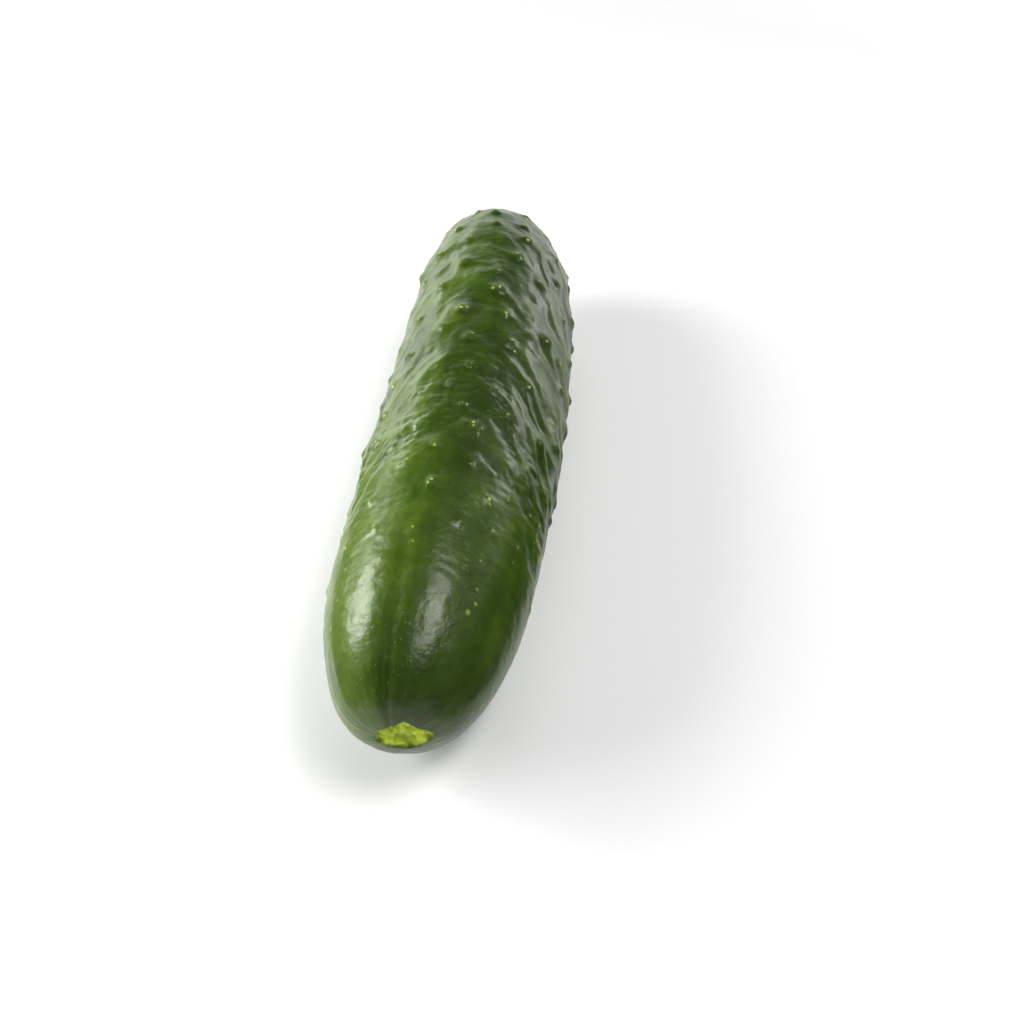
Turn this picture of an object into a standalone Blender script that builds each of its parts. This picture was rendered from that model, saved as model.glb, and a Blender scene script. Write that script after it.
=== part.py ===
"""Slicing cucumber lying on its belly: one solid fruit, stem end at -X, blossom end at +X, +Z up.

The fruit is turned upright about Z with its stem end down, shaped while it stands, bent sideways
and then laid along X. Angles round it start at the top of the laid fruit and grow towards its
right-hand side, seen from the stem end. Metres throughout.
"""
import math

import bpy
import numpy as np

# Driving dimensions
LENGTH = 0.222
MID_RADIUS = 0.0277
TAPER = -0.0030              # blossom-end radius less stem-end radius, before the ends round in
SWELL = -0.0134              # how fast the flank falls away from its middle, per unit length squared
STEM_CAP = 0.0635            # length over which the stem end rounds in
STEM_FULLNESS = 2.6          # power of the rounding: 2 is an ellipse, more is blunter
BLOSSOM_CAP = 0.0510
BLOSSOM_FULLNESS = 2.2

SIDE_BEND = 0.0040           # sideways bow of the axis at mid-length
BEND_SKEW = -0.0046          # how far that bow leans towards one end
LOBE_COUNT = 3               # rounded three-sided section, one lobe on top and a flatter side down
LOBE_DEPTH = 0.010           # as a share of the radius

GROOVE_COUNT = 10            # shallow lengthwise creases that run out from the stem scar
GROOVE_DEPTH = 0.00025
GROOVE_REACH = 0.045

SCAR_RIGHT = 0.0024          # centre of the stem scar, off the axis
SCAR_UP = 0.0006
SCAR_HALF_WIDTH = 0.0069
SCAR_HALF_HEIGHT = 0.0050
SCAR_DEPTH = 0.0009
BLOSSOM_SCAR_RADIUS = 0.0045
BLOSSOM_SCAR_DEPTH = 0.0007

BELLY_FLAT_DEPTH = 0.00035   # how far the resting side is flattened

WART_RADIUS = 0.0030
WART_SPACING = 0.0095
SMALL_WART_HEIGHT = (0.0005, 0.0011)
WART_ZONE = (0.042, 0.205)   # the stem end is smooth
WART_GROWTH = (0.045, 0.125) # scattered warts grow from a third to full height over this stretch
WART_TRIES = 900
WART_SEED = 11
BELLY_CLEAR = math.radians(20)   # no scattered warts this close to the line it rests on
# Leading warts: distance from the stem end, degrees round, height
LEADING_WARTS = (
    (0.148, 12, 0.0016), (0.164, -16, 0.0011), (0.169, 22, 0.0011), (0.137, -9, 0.0010),
    (0.129, -20, 0.0009), (0.131, 37, 0.0012), (0.135, 50, 0.0012), (0.123, 25, 0.0008),
    (0.188, 3, 0.0008), (0.101, -5, 0.0009), (0.100, 21, 0.0010), (0.109, 42, 0.0011),
    (0.093, 34, 0.0010), (0.084, 16, 0.0007), (0.076, -4, 0.0008), (0.072, 19, 0.0010),
    (0.061, 0, 0.0007), (0.078, -34, 0.0006), (0.069, -17, 0.0006), (0.167, 88, 0.0013),
    (0.181, 80, 0.0010), (0.132, 64, 0.0011), (0.123, 75, 0.0010), (0.173, -62, 0.0011),
)

RINGS = 72
SEGMENTS = 64
PROFILE_SAMPLES = 4000
MERGE_DISTANCE = 1e-5
SHARP_ANGLE = math.radians(60)

SKIN_COLOUR = (0.050, 0.110, 0.018, 1.0)
SKIN_ROUGHNESS = 0.32


def clear_scene():
    for thing in list(bpy.data.objects):
        bpy.data.objects.remove(thing, do_unlink=True)


def flank_radius(share):
    """Radius of the flank at a share of the length, before the ends round it in."""
    off_middle = share - 0.5
    return MID_RADIUS + TAPER * off_middle + SWELL * off_middle ** 2


def rounding(distance, cap_length, fullness):
    """How much of the flank radius is left at a distance from an end: 0 at the tip, 1 past the cap."""
    into_cap = np.clip(1.0 - distance / cap_length, 0.0, 1.0)
    return (1.0 - into_cap ** fullness) ** (1.0 / fullness)


def body_radius(height):
    stem_end = rounding(height, STEM_CAP, STEM_FULLNESS)
    blossom_end = rounding(LENGTH - height, BLOSSOM_CAP, BLOSSOM_FULLNESS)
    return flank_radius(height / LENGTH) * stem_end * blossom_end


def outline():
    """Profile points from the blossom tip down to the stem tip, evenly spaced along the outline."""
    share = 0.5 - 0.5 * np.cos(np.linspace(0.0, math.pi, PROFILE_SAMPLES))
    heights = LENGTH * share
    radii = body_radius(heights)
    run = np.concatenate(([0.0], np.cumsum(np.hypot(np.diff(heights), np.diff(radii)))))
    even = np.linspace(run[-1], 0.0, RINGS + 1)
    ring_heights = np.interp(even, run, heights)
    ring_radii = np.interp(even, run, radii)
    return [(radius, 0.0, height) for radius, height in zip(ring_radii, ring_heights)]


def turned_body(collection):
    """The plain fruit, turned about Z from its outline."""
    points = outline()
    mesh = bpy.data.meshes.new("outline")
    mesh.from_pydata(points, [(i, i + 1) for i in range(len(points) - 1)], [])
    body = bpy.data.objects.new("outline", mesh)
    collection.objects.link(body)
    screw = body.modifiers.new("turn", "SCREW")
    screw.axis = "Z"
    screw.steps = SEGMENTS
    screw.render_steps = SEGMENTS
    screw.use_merge_vertices = True
    screw.merge_threshold = MERGE_DISTANCE
    screw.use_normal_calculate = True
    return body


def baked_mesh(turned):
    """The turned body as plain mesh, ready to be shaped."""
    graph = bpy.context.evaluated_depsgraph_get()
    mesh = bpy.data.meshes.new_from_object(turned.evaluated_get(graph))
    bpy.data.objects.remove(turned, do_unlink=True)
    return mesh


def read_points(mesh):
    flat = np.empty(len(mesh.vertices) * 3)
    mesh.vertices.foreach_get("co", flat)
    return flat.reshape(-1, 3)


def write_points(mesh, points):
    mesh.vertices.foreach_set("co", points.ravel())
    mesh.update()


def ramp(value, start, end):
    """0 before start, 1 after end, and a smooth step between."""
    share = np.clip((value - start) / (end - start), 0.0, 1.0)
    return share * share * (3.0 - 2.0 * share)


def angle_gap(angle, other):
    """Smallest signed angle between two directions round the fruit."""
    return (angle - other + math.pi) % (2.0 * math.pi) - math.pi


def wart_list():
    """Leading warts, then smaller ones scattered between them at a natural spacing."""
    warts = [(height, math.radians(degrees), rise) for height, degrees, rise in LEADING_WARTS]
    random = np.random.RandomState(WART_SEED)
    for _ in range(WART_TRIES):
        height = random.uniform(*WART_ZONE)
        angle = random.uniform(-math.pi, math.pi)
        rise = random.uniform(*SMALL_WART_HEIGHT) * (1.0 + 2.0 * ramp(height, *WART_GROWTH)) / 3.0
        gaps = [math.hypot(height - h, MID_RADIUS * angle_gap(angle, a)) for h, a, _ in warts]
        on_belly = abs(angle_gap(angle, math.pi)) < BELLY_CLEAR
        if min(gaps) > WART_SPACING and not on_belly:
            warts.append((height, angle, rise))
    return warts


def wart_rise(height, angle, radius):
    rise = np.zeros_like(height)
    for wart_height, wart_angle, wart_size in wart_list():
        across = radius * angle_gap(angle, wart_angle)
        distance = np.hypot(height - wart_height, across)
        rise += wart_size * np.exp(-(distance / WART_RADIUS) ** 2)
    return rise


def groove_fall(height, angle):
    """Creases that are deepest on the shoulder of the stem end and fade along the fruit."""
    along = np.clip(height / GROOVE_REACH, 0.0, 1.0)
    fade = np.sin(math.pi * along)
    return GROOVE_DEPTH * fade * (0.5 + 0.5 * np.cos(GROOVE_COUNT * angle))


def dish(offset, depth):
    """Depth of a shallow dish; offset is 0 at its centre and 1 at its rim."""
    return depth * np.exp(-offset ** 4)


def shape_standing(points):
    """Lobes, warts, creases and both end scars, on the fruit while it stands on its stem end."""
    height = points[:, 2]
    radius = np.hypot(points[:, 0], points[:, 1])
    angle = np.arctan2(points[:, 1], points[:, 0])

    shaped = radius * (1.0 + LOBE_DEPTH * np.cos(LOBE_COUNT * angle))
    shaped += wart_rise(height, angle, radius) - groove_fall(height, angle)
    shaped[radius < MERGE_DISTANCE] = 0.0
    up = shaped * np.cos(angle)
    right = shaped * np.sin(angle)

    stem_offset = np.hypot((right - SCAR_RIGHT) / SCAR_HALF_WIDTH, (up - SCAR_UP) / SCAR_HALF_HEIGHT)
    blossom_offset = shaped / BLOSSOM_SCAR_RADIUS
    lower_half = height < LENGTH / 2.0
    sink = np.where(lower_half, dish(stem_offset, SCAR_DEPTH), -dish(blossom_offset, BLOSSOM_SCAR_DEPTH))
    return np.column_stack((up, right, height + sink))


def side_bow(height):
    """Sideways shift of the axis at a height, towards the fruit's right-hand side."""
    share = np.clip(height / LENGTH, 0.0, 1.0)
    arch = 4.0 * share * (1.0 - share)
    return arch * (SIDE_BEND + BEND_SKEW * (0.5 - share))


def lay_down(standing):
    """Bend the standing fruit, lay it along X and set it on the ground, centred on its own box."""
    up, right, height = standing.T
    laid = np.column_stack((height, -(right + side_bow(height)), up))
    ground = BELLY_FLAT_DEPTH - MID_RADIUS * (1.0 - LOBE_DEPTH)
    laid[:, 2] = np.maximum(laid[:, 2] - ground, 0.0)
    centre = (laid.min(axis=0) + laid.max(axis=0)) / 2.0
    laid[:, :2] -= centre[:2]
    return laid


def skin_material():
    material = bpy.data.materials.new("cucumber_skin")
    material.use_nodes = True
    shader = material.node_tree.nodes["Principled BSDF"]
    shader.inputs["Base Color"].default_value = SKIN_COLOUR
    shader.inputs["Roughness"].default_value = SKIN_ROUGHNESS
    shader.inputs["Metallic"].default_value = 0.0
    material.diffuse_color = SKIN_COLOUR
    return material


def build():
    clear_scene()
    collection = bpy.data.collections.new("cucumber")
    bpy.context.scene.collection.children.link(collection)
    mesh = baked_mesh(turned_body(collection))
    write_points(mesh, lay_down(shape_standing(read_points(mesh))))
    mesh.name = "cucumber"
    mesh.materials.append(skin_material())
    mesh.shade_smooth()
    mesh.set_sharp_from_angle(angle=SHARP_ANGLE)
    collection.objects.link(bpy.data.objects.new("cucumber", mesh))


build()
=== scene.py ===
"""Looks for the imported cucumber: a fine skin in place of the CAD solid, a white studio and a camera.

The skin is turned upright with its stem end down, shaped while it stands, bowed sideways and laid
along X, as the solid was. Sizes are millimetres of the real fruit until the skin is laid; MM then
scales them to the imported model. A height is a distance from the stem tip while the fruit stands, and
angles round the fruit start at its top and grow towards its right-hand side, seen from the stem end.
"""

import math

import bpy
import numpy as np
from mathutils import Matrix, Vector, noise

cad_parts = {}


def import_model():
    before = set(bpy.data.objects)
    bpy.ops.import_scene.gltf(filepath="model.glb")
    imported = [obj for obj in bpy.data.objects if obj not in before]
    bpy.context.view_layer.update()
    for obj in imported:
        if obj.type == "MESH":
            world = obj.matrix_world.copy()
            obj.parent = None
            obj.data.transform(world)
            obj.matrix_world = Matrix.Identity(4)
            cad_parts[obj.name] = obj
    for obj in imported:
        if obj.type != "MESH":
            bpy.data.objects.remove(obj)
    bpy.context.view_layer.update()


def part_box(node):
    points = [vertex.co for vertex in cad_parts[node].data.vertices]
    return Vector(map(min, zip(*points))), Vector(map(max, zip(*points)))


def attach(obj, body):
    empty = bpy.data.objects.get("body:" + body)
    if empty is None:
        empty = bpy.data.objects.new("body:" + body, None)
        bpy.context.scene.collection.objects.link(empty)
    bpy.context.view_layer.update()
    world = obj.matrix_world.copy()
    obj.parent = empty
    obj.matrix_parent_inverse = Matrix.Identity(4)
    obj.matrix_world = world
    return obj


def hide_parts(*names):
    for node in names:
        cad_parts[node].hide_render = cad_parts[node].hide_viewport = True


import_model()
LOW, HIGH = (np.array(corner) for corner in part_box("cucumber"))

# The frame's scale
FRUIT = HIGH[0] - LOW[0]
MIDDLE = (LOW + HIGH) / 2.0
REAL_LENGTH = 220.8          # the laid fruit over its skin, millimetres
MM = FRUIT / REAL_LENGTH
METRE = MM * 1000.0          # a metre of the real fruit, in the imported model

# The solid's driving dimensions, millimetres
LENGTH = 222.0
MID_RADIUS = 27.7
TAPER = -3.0
SWELL = -13.4
STEM_CAP, STEM_FULLNESS = 63.5, 2.6
BLOSSOM_CAP, BLOSSOM_FULLNESS = 51.0, 2.2
SIDE_BEND, BEND_SKEW = 4.0, -4.6
LOBE_COUNT, LOBE_DEPTH = 3, 0.010
BELLY_FLAT_DEPTH = 0.35
AXIS_HEIGHT = MID_RADIUS * (1.0 - LOBE_DEPTH) - BELLY_FLAT_DEPTH

# Skin mesh: distance between rings, at distances along the outline from the stem tip
RING_PITCH = ((0, 0.3), (11, 0.3), (24, 0.75), (65, 0.75), (80, 0.60), (270, 0.60))
SEGMENTS = 240
TOP_CROWDING = 0.35          # share by which segments crowd towards the top of the fruit
PROFILE_SAMPLES = 6000
MERGE_DISTANCE = 1e-5
SMALLEST_RADIUS = 1e-6       # what points on the axis are divided by, in place of zero

# The camera, from the stem tip of the axis, in fruit lengths
CAMERA_OFFSET = np.array((-0.7527, -0.2582, 1.1548))
CAMERA_AZIMUTH = math.radians(8.52)
CAMERA_ELEVATION = math.radians(-45.85)
CAMERA_ROLL = math.radians(-3.03)
CAMERA_LENS = 43.8


# ---------------------------------------------------------------- the plain fruit

def flank_radius(share):
    """Radius of the flank at a share of the length, before the ends round it in."""
    off_middle = share - 0.5
    return MID_RADIUS + TAPER * off_middle + SWELL * off_middle ** 2


def rounding(distance, cap_length, fullness):
    """How much of the flank radius is left at a distance from an end: 0 at the tip, 1 past the cap."""
    into_cap = np.clip(1.0 - distance / cap_length, 0.0, 1.0)
    return (1.0 - into_cap ** fullness) ** (1.0 / fullness)


def body_radius(height):
    stem_end = rounding(height, STEM_CAP, STEM_FULLNESS)
    blossom_end = rounding(LENGTH - height, BLOSSOM_CAP, BLOSSOM_FULLNESS)
    return flank_radius(height / LENGTH) * stem_end * blossom_end


def outline():
    """Radii and heights of the rings from the blossom tip down to the stem tip, as RING_PITCH says."""
    share = 0.5 - 0.5 * np.cos(np.linspace(0.0, math.pi, PROFILE_SAMPLES))
    heights = LENGTH * share
    radii = body_radius(heights)
    run = np.concatenate(([0.0], np.cumsum(np.hypot(np.diff(heights), np.diff(radii)))))
    places, pitches = zip(*RING_PITCH)
    rings = np.concatenate(([0.0], np.cumsum(np.diff(run) / np.interp(run[1:], places, pitches))))
    wanted = np.linspace(rings[-1], 0.0, int(rings[-1]) + 1)
    return np.interp(wanted, rings, radii), np.interp(wanted, rings, heights)


def turned_skin():
    """The plain skin, turned about Z; returns its mesh."""
    radii, heights = outline()
    mesh = bpy.data.meshes.new("outline")
    points = [(radius, 0.0, height) for radius, height in zip(radii, heights)]
    mesh.from_pydata(points, [(i, i + 1) for i in range(len(points) - 1)], [])
    body = bpy.data.objects.new("outline", mesh)
    bpy.context.scene.collection.objects.link(body)
    screw = body.modifiers.new("turn", "SCREW")
    screw.axis = "Z"
    screw.steps = SEGMENTS
    screw.render_steps = SEGMENTS
    screw.use_merge_vertices = True
    screw.merge_threshold = MERGE_DISTANCE
    screw.use_normal_calculate = True
    graph = bpy.context.evaluated_depsgraph_get()
    turned = bpy.data.meshes.new_from_object(body.evaluated_get(graph))
    bpy.data.objects.remove(body, do_unlink=True)
    return turned


def read_vertices(mesh, field):
    flat = np.empty(len(mesh.vertices) * 3)
    mesh.vertices.foreach_get(field, flat)
    return flat.reshape(-1, 3)


def distance_from_axis(points):
    return np.hypot(points[:, 0], points[:, 1])


def away_from_axis(points):
    """Unit directions, across the fruit, from its axis to the points."""
    return points[:, :2] / np.maximum(distance_from_axis(points), SMALLEST_RADIUS)[:, None]


def crowd_to_top(points):
    """Move the segments round the fruit so that they are closer together on top."""
    radius = distance_from_axis(points)
    angle = np.arctan2(points[:, 1], points[:, 0])
    angle = angle - TOP_CROWDING * np.sin(angle)
    return np.column_stack((radius * np.cos(angle), radius * np.sin(angle), points[:, 2]))


class Surface:
    """The plain fruit's skin points while it stands, with what the detail functions need."""

    def __init__(self, turned):
        self.points = crowd_to_top(read_vertices(turned, "co"))
        self.height = self.points[:, 2]
        self.radius = distance_from_axis(self.points)
        self.angle = np.arctan2(self.points[:, 1], self.points[:, 0])
        self.round = away_from_axis(self.points)
        normals = read_vertices(turned, "normal")
        outward = np.hypot(normals[:, :1], normals[:, 1:2])
        self.normals = np.hstack((self.round * outward, normals[:, 2:]))


def surface_point(height, angle):
    radius = float(body_radius(height))
    return np.array((radius * math.cos(angle), radius * math.sin(angle), height))


# ---------------------------------------------------------------- noise and masks

SEED_STEPS = (7.31, 3.17, 5.73)  # how far apart the seeds sample the noise


def ramp(value, start, end):
    """0 before start, 1 after end, and a smooth step between."""
    share = np.clip((value - start) / (end - start), 0.0, 1.0)
    return share * share * (3.0 - 2.0 * share)


def after(surface, stretch):
    """0 on the stem end's side of a stretch of the fruit and 1 past it; a stretch is two heights."""
    return ramp(surface.height, *stretch)


def before(surface, stretch):
    """1 on the stem end's side of a stretch of the fruit and 0 past it."""
    return 1.0 - after(surface, stretch)


def bell(offset):
    """1 at offset 0, falling off smoothly on both sides."""
    return np.exp(-offset ** 2)


def angle_gap(angle, other):
    """Smallest signed angle between two directions round the fruit."""
    return (angle - other + math.pi) % (2.0 * math.pi) - math.pi


def noise_at(places, seed):
    """Smooth noise, about -1 to 1, with features about one unit wide."""
    shift = Vector([seed * step for step in SEED_STEPS])
    return np.array([noise.noise(Vector(place) + shift) for place in places])


def skin_noise(surface, layer):
    """A layer of noise: its strength, size of features, stretch of them along the fruit, and seed."""
    strength, size, stretch, seed = layer
    return strength * noise_at(surface.points / np.array((size, size, size * stretch)), seed)


def streak_noise(surface, layer):
    """Noise that runs lengthwise: its strength, waves round the fruit, length of each, and seed."""
    strength, count, length, seed = layer
    places = np.column_stack((surface.round * count / math.pi, surface.height / length))
    return strength * noise_at(places, seed)


# ---------------------------------------------------------------- warts and spots

# Warts: distance from the stem end, degrees round, height. The solid has the same ones
LEADING_WARTS = (
    (148, 12, 1.6), (164, -16, 1.1), (169, 22, 1.1), (137, -9, 1.0), (129, -20, 0.9), (131, 37, 1.2),
    (135, 50, 1.2), (123, 25, 0.8), (188, 3, 0.8), (101, -5, 0.9), (100, 21, 1.0), (109, 42, 1.1),
    (93, 34, 1.0), (84, 16, 0.7), (76, -4, 0.8), (72, 19, 1.0), (61, 0, 0.7), (78, -34, 0.6),
    (69, -17, 0.6), (167, 88, 1.3), (181, 80, 1.0), (132, 64, 1.1), (123, 75, 1.0), (173, -62, 1.1),
)
WART_SPACING = 9.5
SMALL_WART_HEIGHT = (0.5, 1.1)
WART_ZONE = (42.0, 205.0)
WART_GROWTH = (45.0, 125.0)  # scattered warts grow from a third to full height over this stretch
WART_TRIES = 900
WART_SEED = 11
BELLY_CLEAR = math.radians(20)   # no scattered warts this close to the line it rests on

# A wart's layers: reach towards the stem end, towards the blossom end and sideways, and their share
# of its height
MOUND = (3.4, 7.0, 4.4, 0.42)
HILL = (1.15, 2.3, 1.8, 0.74)
# Painted shade at the foot of a wart, on its stem side: its distance from the wart, and its reach
PAINTED_SHADE_GAP = 1.7
PAINTED_SHADE_REACH = (1.2, 1.3, 2.0)
# Knobs on a wart, each with a pale spine scar, its tip
KNOB_COUNT = (1, 5)          # at least the first, fewer than the second
KNOB_SPREAD = 1.0
KNOB_RADIUS, KNOB_RISE = 0.8, 0.20
KNOB_VARIATION = (0.5, 1.2)
TIP_RADIUS = 0.5
TIP_PALENESS = (0.3, 1.0)
DETAIL_SEED = 5

# Pale corky spots on the smooth stem half: distance from the stem end, degrees round, radius
SPOTS = (
    (26, 39, 1.0), (29, 42, 0.8), (33, 40, 0.7), (41, 37, 0.6), (60, 73, 0.6), (50, 20, 0.4),
    (38, -46, 0.7), (30, -52, 0.6), (23, -58, 0.8), (57, -24, 0.5), (47, 58, 0.5), (64, 44, 0.5),
    (18, 16, 0.4),
)
SPOT_RISE, SPOT_PALENESS = 0.12, 0.58


def wart_list():
    """Leading warts, then smaller ones scattered between them, as on the solid."""
    placed = [(height, math.radians(degrees), rise) for height, degrees, rise in LEADING_WARTS]
    random = np.random.RandomState(WART_SEED)
    for _ in range(WART_TRIES):
        height = random.uniform(*WART_ZONE)
        angle = random.uniform(-math.pi, math.pi)
        rise = random.uniform(*SMALL_WART_HEIGHT) * (1.0 + 2.0 * ramp(height, *WART_GROWTH)) / 3.0
        gaps = [math.hypot(height - h, MID_RADIUS * angle_gap(angle, a)) for h, a, _ in placed]
        on_belly = abs(angle_gap(angle, math.pi)) < BELLY_CLEAR
        if min(gaps) > WART_SPACING and not on_belly:
            placed.append((height, angle, rise))
    return placed


def bump_at(surface, height, angle, back, front, side):
    """A bump of height 1 that reaches back to the stem end, front to the blossom end, and sideways."""
    offset = surface.points - surface_point(height, angle)
    along = offset[:, 2] / np.where(offset[:, 2] < 0.0, back, front)
    across = distance_from_axis(offset) / side
    return np.exp(-along ** 2 - across ** 2)


def layer_at(surface, height, angle, size, layer):
    back, front, side, share = layer
    return size * share * bump_at(surface, height, angle, back, front, side)


def dot_at(surface, height, angle, radius):
    return bump_at(surface, height, angle, radius, radius, radius)


def warts(surface):
    """Rise of the warts' mounds and of the hills on them, and masks of their pale tips and of the
    painted shade at their feet.
    """
    mounds, hills, tips, painted_shade_feet = np.zeros((4, len(surface.height)))
    random = np.random.RandomState(DETAIL_SEED)
    for height, angle, size in wart_list():
        mounds += layer_at(surface, height, angle, size, MOUND)
        hills += layer_at(surface, height, angle, size, HILL)
        # painted shade at the wart's foot, on its stem side
        painted_shade_feet += size * bump_at(surface, height - PAINTED_SHADE_GAP, angle, *PAINTED_SHADE_REACH)
        for _ in range(random.randint(*KNOB_COUNT)):
            knob_height = height + random.normal(0.0, KNOB_SPREAD)
            knob_angle = angle + random.normal(0.0, KNOB_SPREAD) / MID_RADIUS
            knob = KNOB_RISE * random.uniform(*KNOB_VARIATION)
            hills += knob * dot_at(surface, knob_height, knob_angle, KNOB_RADIUS)
            tip = dot_at(surface, knob_height, knob_angle, TIP_RADIUS)
            tips = np.maximum(tips, tip * random.uniform(*TIP_PALENESS))
    return mounds, hills, tips, painted_shade_feet


def spots(surface):
    """A mask of the corky spots, 1 at the middle of each."""
    mask = np.zeros(len(surface.height))
    for height, degrees, radius in SPOTS:
        mask += dot_at(surface, height, math.radians(degrees), radius)
    return mask


# ---------------------------------------------------------------- waves, folds and wrinkles

# Layers of noise in the skin: height, size of features, their stretch along the fruit, and seed
BROAD_WAVES = (0.45, 16.0, 1.6, 1)
WAVES = (1.0, 7.0, 1.7, 2)
WAVES_SMOOTH, WAVES_WARTY = 0.16, 0.50   # height of WAVES everywhere, and what the warty half adds
WRINKLES = (0.17, 2.6, 1.5, 3)
PEEL = (0.05, 2.3, 1.2, 14)
WARTY = (30.0, 110.0)        # stretch over which the smooth stem half turns warty


def warty_share(surface):
    return after(surface, WARTY)


def waves(surface):
    """Waves and wrinkles that grow towards the blossom end, and a fine peel on the smooth half."""
    warty = warty_share(surface)
    medium = (WAVES_SMOOTH + WAVES_WARTY * warty) * skin_noise(surface, WAVES)
    return medium + warty * skin_noise(surface, WRINKLES) + (1.0 - warty) * skin_noise(surface, PEEL)


# Folds: sharp crests among the warts, higher on the flanks and on the near half of the right one
FOLD_SIZE, FOLD_STRETCH, FOLD_SEED = 5.0, 2.8, 10
FOLD_SLANT = math.radians(38)   # against the fruit's length
FOLD_ARCH = 9.0                 # how wide the folds arch over the top
FOLD_SIDE_SHIFT = 1.5           # keeps the folds of the two flanks apart
FOLD_HEIGHT, FLANK_FOLD_HEIGHT, NEAR_FOLD_HEIGHT = 0.45, 0.75, 0.95
FLANK_ANGLES, NEAR_ANGLES = (0.35, 1.0), (0.3, 0.9)
NEAR_HALF = (110.0, 160.0)
BLOSSOM_FADE = (LENGTH - 10.0, LENGTH - 1.0)


def draped_noise(surface):
    """Noise in folds that arch over the top and slant down both sides towards the stem end."""
    spread = np.hypot(MID_RADIUS * surface.angle, FOLD_ARCH)
    across = spread * math.cos(FOLD_SLANT) + surface.height * math.sin(FOLD_SLANT)
    along = spread * math.sin(FOLD_SLANT) - surface.height * math.cos(FOLD_SLANT)
    side = FOLD_SIDE_SHIFT * np.sin(surface.angle)
    places = np.column_stack((across / FOLD_SIZE, along / (FOLD_SIZE * FOLD_STRETCH), side))
    return noise_at(places, FOLD_SEED)


def folds(surface):
    flank = ramp(np.abs(surface.angle), *FLANK_ANGLES)
    near_right = ramp(surface.angle, *NEAR_ANGLES) * before(surface, NEAR_HALF)
    height = FOLD_HEIGHT + FLANK_FOLD_HEIGHT * flank + NEAR_FOLD_HEIGHT * near_right
    height *= before(surface, BLOSSOM_FADE)
    return height * warty_share(surface) * (0.5 - np.abs(draped_noise(surface)))


# Crumbs: small lumps in patches round the middle of the fruit
CRUMBS = (0.26, 1.6, 1.1, 12)
CRUMB_PATCHES, CRUMB_COVER = (1.0, 12.0, 1.0, 11), (-0.1, 0.3)
CRUMB_START, CRUMB_END = (45.0, 65.0), (105.0, 135.0)


def crumbs(surface):
    patches = ramp(skin_noise(surface, CRUMB_PATCHES), *CRUMB_COVER)
    zone = after(surface, CRUMB_START) * before(surface, CRUMB_END)
    return patches * zone * skin_noise(surface, CRUMBS)


# Ripples: small waves across the fruit where the smooth stem half begins
RIPPLE_HEIGHT, RIPPLE_WIDTH, RIPPLE_LENGTH, RIPPLE_SEED = 0.15, 5.0, 1.9, 13
RIPPLE_START, RIPPLE_END = (12.0, 36.0), (75.0, 110.0)


def ripples(surface):
    places = np.column_stack((surface.round * MID_RADIUS / RIPPLE_WIDTH, surface.height / RIPPLE_LENGTH))
    zone = after(surface, RIPPLE_START) * before(surface, RIPPLE_END)
    return RIPPLE_HEIGHT * zone * noise_at(places, RIPPLE_SEED)


# ---------------------------------------------------------------- the two ends

# Fine lengthwise creases that run out from the stem scar: height, waves round, length, seed
SHARP_CREASES, SHARP_CREASE_HEIGHT = (1.0, 16, 60.0, 4), 0.025
SOFT_CREASES = (0.20, 7, 80.0, 5)
CREASE_FADE = (20.0, 75.0)


def creases(surface):
    sharp = SHARP_CREASE_HEIGHT * (1.0 - 2.0 * np.abs(streak_noise(surface, SHARP_CREASES)))
    return before(surface, CREASE_FADE) * (sharp + streak_noise(surface, SOFT_CREASES))


# A shallow groove along the top of the stem end
GROOVE_ANGLE = math.radians(-5)
GROOVE_HALF_WIDTH, GROOVE_DEPTH = 2.4, 0.40
GROOVE_FADE = (31.0, 62.0)


def top_groove(surface):
    offset = MID_RADIUS * angle_gap(surface.angle, GROOVE_ANGLE) / GROOVE_HALF_WIDTH
    return -GROOVE_DEPTH * bell(offset) * before(surface, GROOVE_FADE)


# Stem scar, across the stem tip: a lens with a hump on top and a point towards the right
SCAR_RIGHT, SCAR_UP = 2.4, 0.2
SCAR_HALF_WIDTH, SCAR_HALF_HEIGHT = 7.2, 4.3
SCAR_HUMP_RIGHT, SCAR_HUMP_WIDTH, SCAR_HUMP_RISE = 3.4, 2.4, 1.9
SCAR_RIGHT_POWER, SCAR_LEFT_POWER = 1.25, 2.2   # the lower the power, the sharper that end
SCAR_TEARS = ((0.08, 2.5, 1.0, 6), (0.04, 0.9, 1.0, 7))
SCAR_EDGE = (0.90, 1.04)
FAR_OUTSIDE = 9.0
# The torn pulp: lumpy, and sunk a little below the skin round it
PULP_LAYERS = ((0.75, 3.0, 1.0, 8), (0.40, 1.3, 1.0, 9), (0.14, 0.7, 1.0, 16))
PULP_DEPTH = 0.5


def scar_offset(surface):
    """0 at the middle of the stem scar, 1 on its torn edge and more outside it."""
    up, right = surface.points[:, 0], surface.points[:, 1]
    across = (right - SCAR_RIGHT) / SCAR_HALF_WIDTH
    hump = SCAR_HUMP_RISE * bell((right - SCAR_HUMP_RIGHT) / SCAR_HUMP_WIDTH)
    along = (up - SCAR_UP) / np.where(up > SCAR_UP, SCAR_HALF_HEIGHT + hump, SCAR_HALF_HEIGHT)
    power = np.where(across > 0.0, SCAR_RIGHT_POWER, SCAR_LEFT_POWER)
    offset = np.abs(across) ** power + along ** 2
    torn = offset + sum(skin_noise(surface, layer) for layer in SCAR_TEARS)
    return np.where(surface.height < LENGTH / 2.0, torn, FAR_OUTSIDE)


def pulp_relief(surface):
    return sum(skin_noise(surface, layer) for layer in PULP_LAYERS) - PULP_DEPTH


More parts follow.
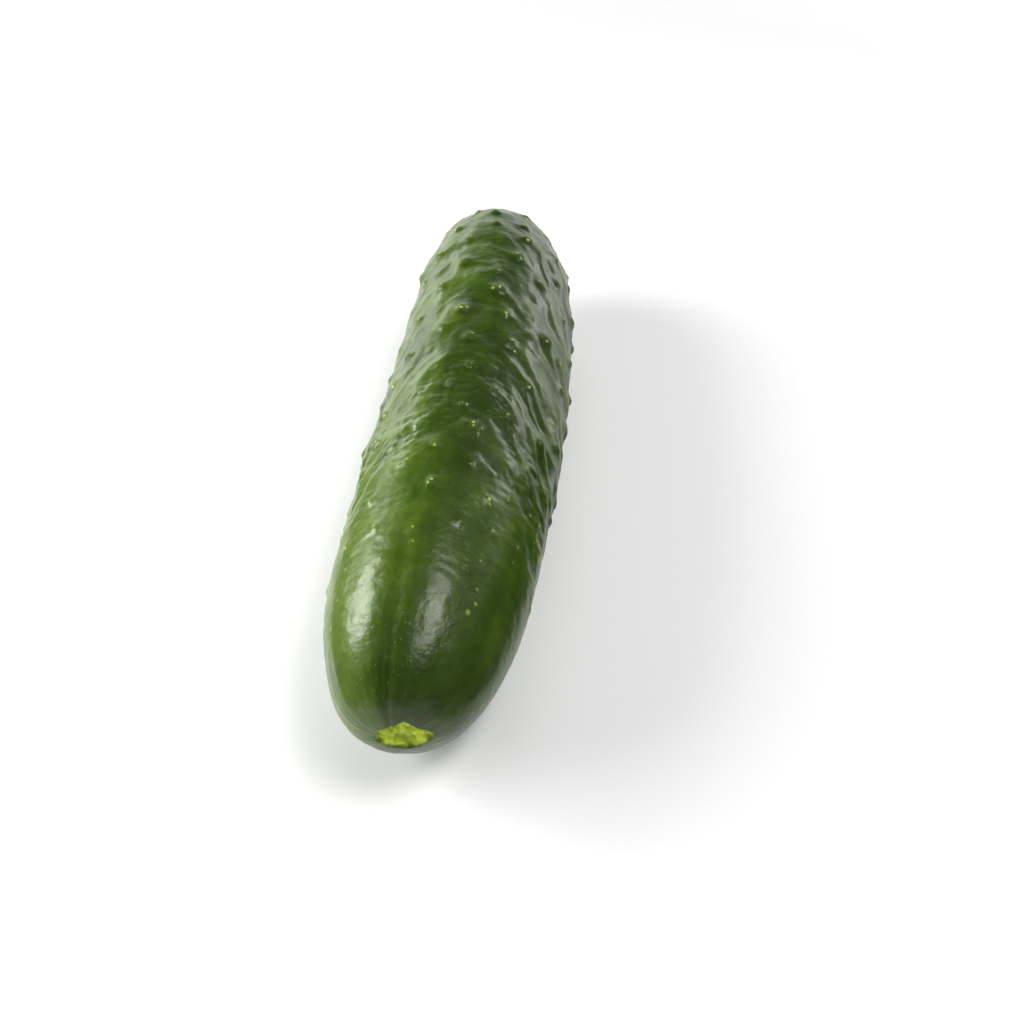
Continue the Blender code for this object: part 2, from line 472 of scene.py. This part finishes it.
# Blossom scar: a small sunken ring where the flower fell off, with a knob at its middle
BLOSSOM_RADIUS, BLOSSOM_DEPTH = 4.5, 0.8
BLOSSOM_KNOB_RADIUS, BLOSSOM_KNOB_RISE = 0.35, 0.7   # shares of the scar's radius and depth
PLEAT_COUNT, PLEAT_HEIGHT = 9, 0.12
PLEAT_RING, PLEAT_REACH = 1.1, 0.45                  # shares of the scar's radius
PATCH_EDGE, PATCH_FADE = (0.9, 1.6, 1.0, 15), (0.75 * BLOSSOM_RADIUS, BLOSSOM_RADIUS)


def on_blossom_half(surface, values):
    return np.where(surface.height > LENGTH / 2.0, values, 0.0)


def blossom_scar(surface):
    share = surface.radius / BLOSSOM_RADIUS
    dish = -BLOSSOM_DEPTH * np.exp(-share ** 4)
    knob = BLOSSOM_KNOB_RISE * BLOSSOM_DEPTH * bell(share / BLOSSOM_KNOB_RADIUS)
    pleats = PLEAT_HEIGHT * np.sin(PLEAT_COUNT * surface.angle)
    pleats *= bell((share - PLEAT_RING) / PLEAT_REACH)
    return on_blossom_half(surface, dish + knob + pleats)


def blossom_patch(surface):
    """1 on the corky patch at the blossom tip, with a ragged edge."""
    edge = surface.radius + skin_noise(surface, PATCH_EDGE)
    return on_blossom_half(surface, 1.0 - ramp(edge, *PATCH_FADE))


# ---------------------------------------------------------------- the finished skin

# Painted light and shade, 0 for deep green and 1 for yellow-green: the usual value, and what each place
# adds to it
LIGHT_AND_SHADE_BASE = 0.5
# painted light on the left flank and along the top of the stem half, painted shade on the right flank,
# and a deeper green round the stem tip
PAINTED_LIGHT_LEFT, PAINTED_SHADE_RIGHT, PAINTED_LIGHT_TOP, STEM_TIP_DARKENING = 0.5, -0.45, 0.18, -0.25
LEFT_SINE, LEFT_END = (0.0, 0.7), (60.0, 120.0)
RIGHT_SINE, RIGHT_START = (-0.3, 0.4), (50.0, 90.0)
STRIPE_ANGLE, STRIPE_HALF_WIDTH = -0.15, 0.25
STRIPE_START, STRIPE_END = (16.0, 32.0), (60.0, 90.0)
TIP_END = (5.0, 24.0)

# How relief turns into masks for the material; the crest mask paints light on crests and shade in
# hollows
HILL_RISE = (0.0, 0.9)
HILL_IN_CREST, CREST_RISE = 0.4, (-0.5, 0.6)
PULP_RISE = (-1.0, 0.0)


def painted_light_and_shade(surface):
    """Painted light, yellower, on the left and top of the stem half; painted shade, deepest green, on
    the right, and deepest green round the scar.
    """
    sine = np.sin(surface.angle)
    left = ramp(-sine, *LEFT_SINE) * before(surface, LEFT_END)
    right = ramp(sine, *RIGHT_SINE) * after(surface, RIGHT_START)
    stripe = bell((surface.angle - STRIPE_ANGLE) / STRIPE_HALF_WIDTH)
    stripe *= after(surface, STRIPE_START) * before(surface, STRIPE_END)
    tip = before(surface, TIP_END)
    return LIGHT_AND_SHADE_BASE + PAINTED_LIGHT_LEFT * left + PAINTED_SHADE_RIGHT * right + PAINTED_LIGHT_TOP * stripe + STEM_TIP_DARKENING * tip


def shaped(surface):
    """Points of the standing skin with all its relief, and the masks that the material reads."""
    mounds, hills, tips, painted_shade_feet = warts(surface)
    corky = spots(surface)
    wavy = waves(surface) + folds(surface) + crumbs(surface) + ripples(surface)
    skin = mounds + hills + SPOT_RISE * corky + skin_noise(surface, BROAD_WAVES) + wavy
    skin += creases(surface) + top_groove(surface) + blossom_scar(surface)
    pulp = pulp_relief(surface)
    scar = 1.0 - ramp(scar_offset(surface), *SCAR_EDGE)
    relief = skin * (1.0 - scar) + pulp * scar
    points = surface.points + surface.normals * relief[:, None]
    points[:, :2] *= (1.0 + LOBE_DEPTH * np.cos(LOBE_COUNT * surface.angle))[:, None]
    blossom = blossom_patch(surface)
    return points, {
        "tip": np.maximum(tips, SPOT_PALENESS * corky),
        "scar": scar,
        # painted light on crests and painted shade in hollows, following the relief
        "crest_light_hollow_shade": ramp(wavy + HILL_IN_CREST * hills, *CREST_RISE),
        "hill": np.maximum(ramp(hills, *HILL_RISE), blossom),
        # painted light on the left and top of the stem half, painted shade on the right
        "light_and_shade_mask": painted_light_and_shade(surface),
        # painted shade at the warts' feet
        "painted_shade_foot": painted_shade_feet,
        "pulp": ramp(pulp, *PULP_RISE),
        "blossom": blossom,
    }


def side_bow(height):
    """Sideways shift of the axis at a height, towards the fruit's right-hand side."""
    share = np.clip(height / LENGTH, 0.0, 1.0)
    arch = 4.0 * share * (1.0 - share)
    return arch * (SIDE_BEND + BEND_SKEW * (0.5 - share))


def laid(standing):
    """The standing points bowed, laid along X and set on the ground, and how far they were moved."""
    up, right, height = standing.T
    points = np.column_stack((height, -(right + side_bow(height)), up + AXIS_HEIGHT))
    points[:, 2] = np.maximum(points[:, 2], 0.0)
    points *= MM
    shift = (LOW + HIGH - points.min(axis=0) - points.max(axis=0)) / 2.0
    shift[2] = LOW[2]
    return points + shift, shift


def add_attribute(mesh, name, values, kind="FLOAT", field="value"):
    attribute = mesh.attributes.new(name, kind, "POINT")
    attribute.data.foreach_set(field, values.ravel())


def build_skin():
    """The laid skin as an object, and how far it was moved from the place where it stood."""
    mesh = turned_skin()
    surface = Surface(mesh)
    standing, masks = shaped(surface)
    final, shift = laid(standing)
    mesh.vertices.foreach_set("co", final.ravel())
    for name, values in masks.items():
        add_attribute(mesh, name, values)
    flow = np.column_stack((surface.round, surface.height / LENGTH))
    add_attribute(mesh, "flow", flow, "FLOAT_VECTOR", "vector")
    mesh.name = "cucumber_skin"
    mesh.update()
    mesh.shade_smooth()
    skin = bpy.data.objects.new("cucumber_skin", mesh)
    bpy.context.scene.collection.objects.link(skin)
    return skin, shift


# ---------------------------------------------------------------- shader nodes

# Where a colour Mix node keeps its sockets
MIX_SHARE, MIX_FIRST, MIX_SECOND, MIX_RESULT = 0, 6, 7, 2


def grey(value):
    return (value, value, value)


class Nodes:
    """Short names for making and joining shader nodes."""

    def __init__(self, owner, shader="Principled BSDF"):
        owner.use_nodes = True
        self.tree = owner.node_tree
        self.shader = self.tree.nodes[shader]

    def join(self, source, target):
        self.tree.links.new(source, target)

    def feed(self, socket, value):
        """Give a socket an output of another node, a colour or a number."""
        if isinstance(value, bpy.types.NodeSocket):
            self.join(value, socket)
        elif isinstance(value, tuple):
            socket.default_value = (*value, 1.0)
        else:
            socket.default_value = value

    def add(self, kind, **settings):
        node = self.tree.nodes.new(kind)
        for name, value in settings.items():
            setattr(node, name, value)
        return node

    def attribute(self, name, output="Fac"):
        return self.add("ShaderNodeAttribute", attribute_name=name).outputs[output]

    def object_place(self):
        return self.add("ShaderNodeTexCoord").outputs["Object"]

    def noise(self, coordinates, scale, detail, roughness):
        node = self.add("ShaderNodeTexNoise")
        node.inputs["Scale"].default_value = scale
        node.inputs["Detail"].default_value = detail
        node.inputs["Roughness"].default_value = roughness
        self.join(coordinates, node.inputs["Vector"])
        return node.outputs["Fac"]

    def stretch(self, coordinates, scale):
        node = self.add("ShaderNodeMapping")
        node.inputs["Scale"].default_value = scale
        self.join(coordinates, node.inputs["Vector"])
        return node.outputs["Vector"]

    def curve(self, value, stops):
        """A colour ramp from (position, grey or colour) stops."""
        node = self.add("ShaderNodeValToRGB")
        elements = node.color_ramp.elements
        while len(elements) < len(stops):
            elements.new(0.5)
        for element, (position, shade) in zip(elements, stops):
            colour = shade if isinstance(shade, tuple) else grey(shade)
            element.position = position
            element.color = (*colour, 1.0)
        self.join(value, node.inputs["Fac"])
        return node.outputs["Color"]

    def mix(self, share, first, second, blend="MIX"):
        node = self.add("ShaderNodeMix", data_type="RGBA", blend_type=blend)
        self.feed(node.inputs[MIX_SHARE], share)
        self.feed(node.inputs[MIX_FIRST], first)
        self.feed(node.inputs[MIX_SECOND], second)
        return node.outputs[MIX_RESULT]

    def map_range(self, value, source, target=(0.0, 1.0)):
        node = self.add("ShaderNodeMapRange")
        node.inputs["From Min"].default_value, node.inputs["From Max"].default_value = source
        node.inputs["To Min"].default_value, node.inputs["To Max"].default_value = target
        self.join(value, node.inputs["Value"])
        return node.outputs["Result"]

    def bump(self, height, distance, under=None):
        node = self.add("ShaderNodeBump")
        node.inputs["Distance"].default_value = distance
        self.join(height, node.inputs["Height"])
        if under is not None:
            self.join(under, node.inputs["Normal"])
        return node.outputs["Normal"]


# ---------------------------------------------------------------- the skin's material

DEEP_GREEN = (0.026, 0.057, 0.003)
LEAF_GREEN = (0.046, 0.090, 0.004)
YELLOW_GREEN = (0.089, 0.151, 0.010)
# painted shade at the warts' feet
PAINTED_SHADE_GREEN = (0.012, 0.026, 0.002)
PALE_TIP = (0.52, 0.56, 0.15)
SCAR_DARK = (0.26, 0.35, 0.002)
SCAR_LIGHT = (0.52, 0.64, 0.03)
BLOSSOM_TAN = (0.24, 0.20, 0.07)
BLOSSOM_BROWN = (0.10, 0.08, 0.025)

# Noise patterns: scale, detail and roughness. A scale over METRE counts features in a real metre
STREAKS = (1.0, 3.0, 0.6)
FINE_RIPPLES = (1.0, 2.0, 0.5)
MOTTLE = (90.0 / METRE, 6.0, 0.68)
SPECK_PATCHES = (60.0 / METRE, 2.0, 0.5)
SMUDGES = (120.0 / METRE, 3.0, 0.6)
GRAIN = (900.0 / METRE, 2.0, 0.5)
PORES = (900.0 / METRE, 3.0, 0.6)
SPECK_SCALE = 600.0 / METRE
# Patterns that follow the fruit's flow: how often they repeat across it, up it and along it
STREAK_FLOW, RIPPLE_FLOW = (4.0, 4.0, 2.2), (8.0, 8.0, 100.0)

# Share of each pattern where it is mixed into the ones before it
MOTTLE_SHARE, CREST_LIGHT_SHARE, LIGHT_AND_SHADE_SHARE = 0.58, 0.18, 0.28
# Curves: value of a pattern or mask, and the colour or strength there
GREENS = ((0.385, DEEP_GREEN), (0.50, LEAF_GREEN), (0.645, YELLOW_GREEN))
PAINTED_SHADE_CURVE = ((0.25, 0.0), (1.0, 0.5))
SPECK_CURVE, SPECK_PATCH_CURVE = ((0.03, 0.36), (0.14, 0.0)), ((0.45, 0.0), (0.60, 1.0))
TIP_CURVE = ((0.25, 0.0), (0.75, 1.0))
CORK = ((0.38, BLOSSOM_BROWN), (0.6, BLOSSOM_TAN))
PULP_GRAIN_SHARE, PULP_COLOURS = 0.35, ((0.2, SCAR_DARK), (0.8, SCAR_LIGHT))

HILL_CURVE = ((0.15, 0.0), (0.6, 1.0))
ROUGHNESS_CURVE = ((0.3, 0.30), (0.7, 0.44))
HILL_ROUGHNESS, SCAR_ROUGHNESS = 0.6, 0.6
COAT_WEIGHT, HILL_COAT_WEIGHT, SCAR_COAT_WEIGHT = 0.28, 0.03, 0.0
COAT_ROUGHNESS = 0.18
SKIN_IOR, SKIN_SPECULAR = 1.45, 0.72
SUBSURFACE_WEIGHT, SUBSURFACE_RADIUS, SUBSURFACE_SCALE = 0.08, (0.8, 1.0, 0.3), 0.0015 * METRE
RIPPLE_BUMP, PORE_BUMP = 0.00024 * METRE, 0.00008 * METRE


def green_colour(nodes, place, flow):
    """Streaked and mottled greens, with painted light on crests and painted shade in hollows, painted
    light on the left and top and painted shade on the right, and painted shade at the warts' feet.
    """
    streaks = nodes.noise(nodes.stretch(flow, STREAK_FLOW), *STREAKS)
    mottle = nodes.noise(place, *MOTTLE)
    blend = nodes.mix(MOTTLE_SHARE, streaks, mottle)
    # painted light on crests and painted shade in hollows
    blend = nodes.mix(CREST_LIGHT_SHARE, blend, nodes.attribute("crest_light_hollow_shade"))
    # painted light on the left and top of the stem half, painted shade on the right
    blend = nodes.mix(LIGHT_AND_SHADE_SHARE, blend, nodes.attribute("light_and_shade_mask"))
    colour = nodes.curve(blend, GREENS)
    # painted shade at the foot of each wart
    painted_shade_foot = nodes.curve(nodes.attribute("painted_shade_foot"), PAINTED_SHADE_CURVE)
    return nodes.mix(painted_shade_foot, colour, PAINTED_SHADE_GREEN)


def with_specks(nodes, place, colour):
    """The colour with pale specks in patches, and the pale wart tips and corky spots."""
    cells = nodes.add("ShaderNodeTexVoronoi")
    cells.inputs["Scale"].default_value = SPECK_SCALE
    nodes.join(place, cells.inputs["Vector"])
    specks = nodes.curve(cells.outputs["Distance"], SPECK_CURVE)
    patches = nodes.curve(nodes.noise(place, *SPECK_PATCHES), SPECK_PATCH_CURVE)
    colour = nodes.mix(nodes.mix(1.0, specks, patches, "MULTIPLY"), colour, PALE_TIP)
    return nodes.mix(nodes.curve(nodes.attribute("tip"), TIP_CURVE), colour, PALE_TIP)


def with_scars(nodes, place, scar, colour):
    """The colour with the corky blossom patch and the torn pulp of the stem scar."""
    grain = nodes.noise(place, *GRAIN)
    colour = nodes.mix(nodes.attribute("blossom"), colour, nodes.curve(grain, CORK))
    pulp = nodes.mix(PULP_GRAIN_SHARE, nodes.attribute("pulp"), grain)
    return nodes.mix(scar, colour, nodes.curve(pulp, PULP_COLOURS))


def add_gloss(nodes, place, scar):
    """A waxy, smudged gloss that is duller on the warts' hills and on both scars."""
    shader = nodes.shader.inputs
    hill = nodes.curve(nodes.attribute("hill"), HILL_CURVE)
    rough = nodes.curve(nodes.noise(place, *SMUDGES), ROUGHNESS_CURVE)
    rough = nodes.mix(hill, rough, grey(HILL_ROUGHNESS))
    nodes.join(nodes.mix(scar, rough, grey(SCAR_ROUGHNESS)), shader["Roughness"])
    coat = nodes.mix(hill, grey(COAT_WEIGHT), grey(HILL_COAT_WEIGHT))
    nodes.join(nodes.mix(scar, coat, grey(SCAR_COAT_WEIGHT)), shader["Coat Weight"])
    shader["Coat Roughness"].default_value = COAT_ROUGHNESS
    shader["IOR"].default_value = SKIN_IOR
    shader["Specular IOR Level"].default_value = SKIN_SPECULAR


def add_bumps(nodes, place, flow):
    """Fine ripples across the fruit, with pores on them."""
    ripple = nodes.noise(nodes.stretch(flow, RIPPLE_FLOW), *FINE_RIPPLES)
    pores = nodes.noise(place, *PORES)
    normal = nodes.bump(pores, PORE_BUMP, under=nodes.bump(ripple, RIPPLE_BUMP))
    nodes.join(normal, nodes.shader.inputs["Normal"])


def skin_material():
    material = bpy.data.materials.new("waxy_skin")
    nodes = Nodes(material)
    place = nodes.object_place()
    flow = nodes.attribute("flow", "Vector")
    scar = nodes.attribute("scar")
    colour = with_specks(nodes, place, green_colour(nodes, place, flow))
    shader = nodes.shader.inputs
    nodes.join(with_scars(nodes, place, scar, colour), shader["Base Color"])
    add_gloss(nodes, place, scar)
    add_bumps(nodes, place, flow)
    shader["Subsurface Weight"].default_value = SUBSURFACE_WEIGHT
    shader["Subsurface Radius"].default_value = SUBSURFACE_RADIUS
    shader["Subsurface Scale"].default_value = SUBSURFACE_SCALE
    return material


# ---------------------------------------------------------------- studio

# Floor: its size, its whites, and its own light near and far, with the distances where that changes
FLOOR_SIZE = 24.0 * FRUIT
FLOOR_CLOUDS, FLOOR_WHITES = (3.0, 2.0, 0.5), ((0.0, 0.86), (1.0, 0.88))
FLOOR_ROUGHNESS, FLOOR_SPECULAR = 0.6, 0.2
FLOOR_GLOW, FLOOR_GLOW_REACH = (0.04, 0.8), (1.6 * FRUIT, 4.6 * FRUIT)

# Dark cards beside the stem half, in fruit lengths: how far to the side each one stands, and where
# its blossom end is
FLAGS = {"flag_left": (0.42, 0.20), "flag_right": (-0.25, 0.0)}
FLAG_STEM_END, FLAG_HEIGHT = -0.75, 0.24
FLAG_COLOUR, FLAG_ROUGHNESS = (0.02, 0.03, 0.015), 0.9

# Soft boxes: azimuth and elevation in degrees, distance, width and height in fruit lengths, power,
# and whether reflections see it
SOFT_BOXES = {
    "key_left": (79, 26, 3.0, 1.25, 1.9, 47, True),
    "fill_left": (100, 25, 3.3, 2.8, 2.2, 78, False),
    "fill_right": (-95, 58, 3.3, 2.3, 1.1, 22, False),
    "strip_right": (-101, 64, 3.0, 2.3, 1.1, 34, True),
    "rim_left": (38, 8, 3.0, 1.4, 0.6, 3.2, True),
    "rim_right": (-40, 9, 3.0, 1.6, 0.6, 6, True),
    "overhead": (0, 64, 7.0, 5.0, 5.0, 72, False),
}

# Brightness of the world by the upward part of the direction, and how one side turns into the other
STEM_SIDE_SKY = ((0.0, 1.0), (0.08, 0.80), (0.20, 0.16), (0.6, 0.03))
BLOSSOM_SIDE_SKY = ((0.0, 1.2), (0.12, 1.1), (0.34, 0.28), (0.52, 0.04))
SKY_TURN = (-0.5, 0.4)


def floor_material():
    """White, and lit from within far away, so that hardly a band shows where it meets the horizon."""
    material = bpy.data.materials.new("white_floor")
    nodes = Nodes(material)
    shader = nodes.shader.inputs
    place = nodes.object_place()
    nodes.join(nodes.curve(nodes.noise(place, *FLOOR_CLOUDS), FLOOR_WHITES), shader["Base Color"])
    shader["Roughness"].default_value = FLOOR_ROUGHNESS
    shader["Specular IOR Level"].default_value = FLOOR_SPECULAR
    nodes.feed(shader["Emission Color"], grey(1.0))
    distance = nodes.add("ShaderNodeVectorMath", operation="LENGTH")
    nodes.join(place, distance.inputs[0])
    glow = nodes.map_range(distance.outputs["Value"], FLOOR_GLOW_REACH, FLOOR_GLOW)
    nodes.join(glow, shader["Emission Strength"])
    return material


def floor():
    bpy.ops.mesh.primitive_plane_add(size=FLOOR_SIZE, location=(MIDDLE[0], MIDDLE[1], LOW[2]))
    plane = bpy.context.object
    plane.name = "studio_floor"
    plane.data.materials.append(floor_material())


def flag(name, side, blossom_end):
    """A dark card beside the fruit, seen only in reflections."""
    bpy.ops.mesh.primitive_plane_add(size=1.0)
    card = bpy.context.object
    card.name = name
    card.scale = ((blossom_end - FLAG_STEM_END) * FRUIT, FLAG_HEIGHT * FRUIT, 1.0)
    card.rotation_euler = (math.radians(90), 0.0, 0.0)
    card.location = MIDDLE + FRUIT * np.array(((blossom_end + FLAG_STEM_END) / 2.0, side, 0.0))
    card.location.z = LOW[2] + FLAG_HEIGHT * FRUIT / 2.0
    material = bpy.data.materials.new("flag_black")
    nodes = Nodes(material)
    nodes.feed(nodes.shader.inputs["Base Color"], FLAG_COLOUR)
    nodes.feed(nodes.shader.inputs["Roughness"], FLAG_ROUGHNESS)
    card.data.materials.append(material)
    card.visible_camera = False
    card.visible_diffuse = False
    card.visible_shadow = False


def direction(azimuth, elevation):
    """The unit vector at an azimuth round Z from +X and an elevation above the ground, in radians."""
    level = math.cos(elevation)
    return Vector((level * math.cos(azimuth), level * math.sin(azimuth), math.sin(elevation)))


def soft_box(name, azimuth, elevation, distance, width, height, power, glossy):
    """An area light that faces the fruit's middle."""
    light = bpy.data.lights.new(name, "AREA")
    light.shape = "ELLIPSE"
    light.size = width * FRUIT
    light.size_y = height * FRUIT
    light.energy = power * FRUIT ** 2
    lamp = bpy.data.objects.new(name, light)
    bpy.context.scene.collection.objects.link(lamp)
    away = direction(math.radians(azimuth), math.radians(elevation))
    lamp.location = Vector(MIDDLE) + away * distance * FRUIT
    lamp.rotation_euler = away.to_track_quat("Z", "Y").to_euler()
    lamp.visible_glossy = glossy


def studio_world():
    """White at the horizon, dim overhead, and dimmer low down on the stem end's side."""
    world = bpy.data.worlds.new("studio")
    bpy.context.scene.world = world
    nodes = Nodes(world, "Background")
    split = nodes.add("ShaderNodeSeparateXYZ")
    nodes.join(nodes.add("ShaderNodeTexCoord").outputs["Generated"], split.inputs["Vector"])
    stem_side = nodes.curve(split.outputs["Z"], STEM_SIDE_SKY)
    blossom_side = nodes.curve(split.outputs["Z"], BLOSSOM_SIDE_SKY)
    share = nodes.map_range(split.outputs["X"], SKY_TURN)
    nodes.join(nodes.mix(share, stem_side, blossom_side), nodes.shader.inputs["Color"])


def camera(stem_tip):
    data = bpy.data.cameras.new("camera")
    data.lens = CAMERA_LENS
    view = bpy.data.objects.new("camera", data)
    bpy.context.scene.collection.objects.link(view)
    forward = direction(CAMERA_AZIMUTH, CAMERA_ELEVATION)
    turn = forward.to_track_quat("-Z", "Y").to_matrix().to_4x4()
    roll = Matrix.Rotation(CAMERA_ROLL, 4, "Z")
    place = Matrix.Translation(Vector(stem_tip + CAMERA_OFFSET * LENGTH * MM))
    view.matrix_world = place @ turn @ roll
    bpy.context.scene.camera = view


skin, shift = build_skin()
skin.data.materials.append(skin_material())
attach(skin, "root")
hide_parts("cucumber")

floor()
studio_world()
for name, (side, blossom_end) in FLAGS.items():
    flag(name, side, blossom_end)
for name, settings in SOFT_BOXES.items():
    soft_box(name, *settings)
camera(shift + np.array((0.0, 0.0, AXIS_HEIGHT * MM)))

bpy.context.scene.view_settings.view_transform = "Standard"
bpy.context.scene.view_settings.look = "Medium High Contrast"
